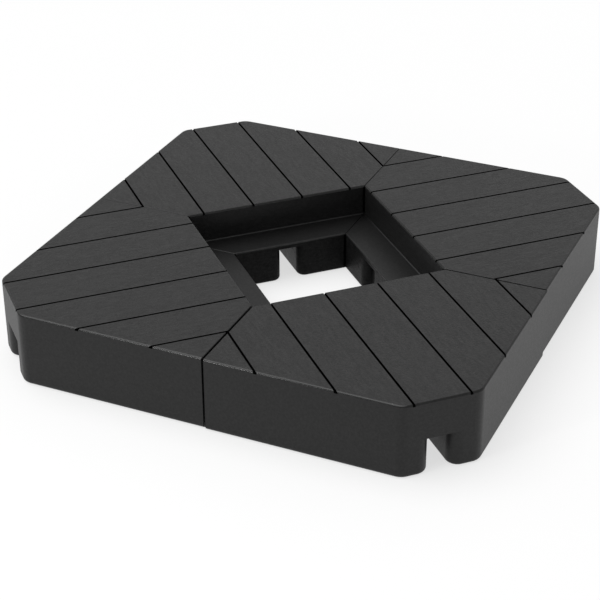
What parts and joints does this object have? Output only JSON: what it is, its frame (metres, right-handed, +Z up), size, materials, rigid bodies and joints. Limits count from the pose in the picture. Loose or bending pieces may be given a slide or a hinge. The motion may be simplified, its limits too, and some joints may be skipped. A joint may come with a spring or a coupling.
{
  "type": "parasol base",
  "caption": "Square parasol base of plank-topped fillable tanks around a stepped central opening, with channels beneath for the arms of a cross foot.",
  "frame": {"origin": "centre of the underside, on the axis of the central opening", "axes": "+Z up; the sides face +-X and +-Y; the cut corners and the channels lie on the diagonals"},
  "size_m": [1.003, 1.003, 0.154],
  "materials": {
    "tank_plastic": "moulded wood grain, matt",
    "cap_plastic": "fine satin",
    "seal_rubber": "matt"
  },
  "bodies": {
    "tank_front": {"tank_front": "tank_plastic"},
    "seal_front": {"seal_front": "seal_rubber"},
    "cap_front": {"cap_front": "cap_plastic"},
    "tank_right": {"tank_right": "tank_plastic"},
    "seal_right": {"seal_right": "seal_rubber"},
    "cap_right": {"cap_right": "cap_plastic"},
    "tank_back": {"tank_back": "tank_plastic"},
    "seal_back": {"seal_back": "seal_rubber"},
    "cap_back": {"cap_back": "cap_plastic"},
    "tank_left": {"tank_left": "tank_plastic"},
    "seal_left": {"seal_left": "seal_rubber"},
    "cap_left": {"cap_left": "cap_plastic"}
  },
  "joints": [
    {"name": "tank_front_slide", "type": "slide", "parent": "tank_back", "child": "tank_front", "axis": [0.7071, -0.7071, 0], "range_m": [-0.0042, 0.25]},
    {"name": "tank_right_slide", "type": "slide", "parent": "tank_back", "child": "tank_right", "axis": [0.7071, 0.7071, 0], "range_m": [0, 0.25]},
    {"name": "tank_left_slide", "type": "slide", "parent": "tank_back", "child": "tank_left", "axis": [-0.7071, -0.7071, 0], "range_m": [0, 0.25]},
    {"name": "seal_front_rise", "type": "slide", "parent": "tank_front", "child": "seal_front", "axis": [0, 1, 0], "range_m": [0, 0.008]},
    {"name": "cap_front_turn", "type": "hinge", "parent": "seal_front", "child": "cap_front", "pos_m": [0.40297, -0.02347, 0.096], "axis": [0, 1, 0], "range_deg": [0, 720]},
    {"name": "seal_right_rise", "type": "slide", "parent": "tank_right", "child": "seal_right", "axis": [-1, 0, 0], "range_m": [0, 0.008]},
    {"name": "cap_right_turn", "type": "hinge", "parent": "seal_right", "child": "cap_right", "pos_m": [0.0205, 0.4, 0.096], "axis": [-1, 0, 0], "range_deg": [0, 720]},
    {"name": "seal_back_rise", "type": "slide", "parent": "tank_back", "child": "seal_back", "axis": [0, -1, 0], "range_m": [0, 0.008]},
    {"name": "cap_back_turn", "type": "hinge", "parent": "seal_back", "child": "cap_back", "pos_m": [-0.4, 0.0205, 0.096], "axis": [0, -1, 0], "range_deg": [0, 720]},
    {"name": "seal_left_rise", "type": "slide", "parent": "tank_left", "child": "seal_left", "axis": [1, 0, 0], "range_m": [0, 0.008]},
    {"name": "cap_left_turn", "type": "hinge", "parent": "seal_left", "child": "cap_left", "pos_m": [-0.0205, -0.4, 0.096], "axis": [1, 0, 0], "range_deg": [0, 720]}
  ],
  "couplings": [
    {"joint": "seal_front_rise", "follows": "cap_front_turn", "m_per_rad": 0.0006366},
    {"joint": "seal_right_rise", "follows": "cap_right_turn", "m_per_rad": 0.0006366},
    {"joint": "seal_back_rise", "follows": "cap_back_turn", "m_per_rad": 0.0006366},
    {"joint": "seal_left_rise", "follows": "cap_left_turn", "m_per_rad": 0.0006366}
  ]
}
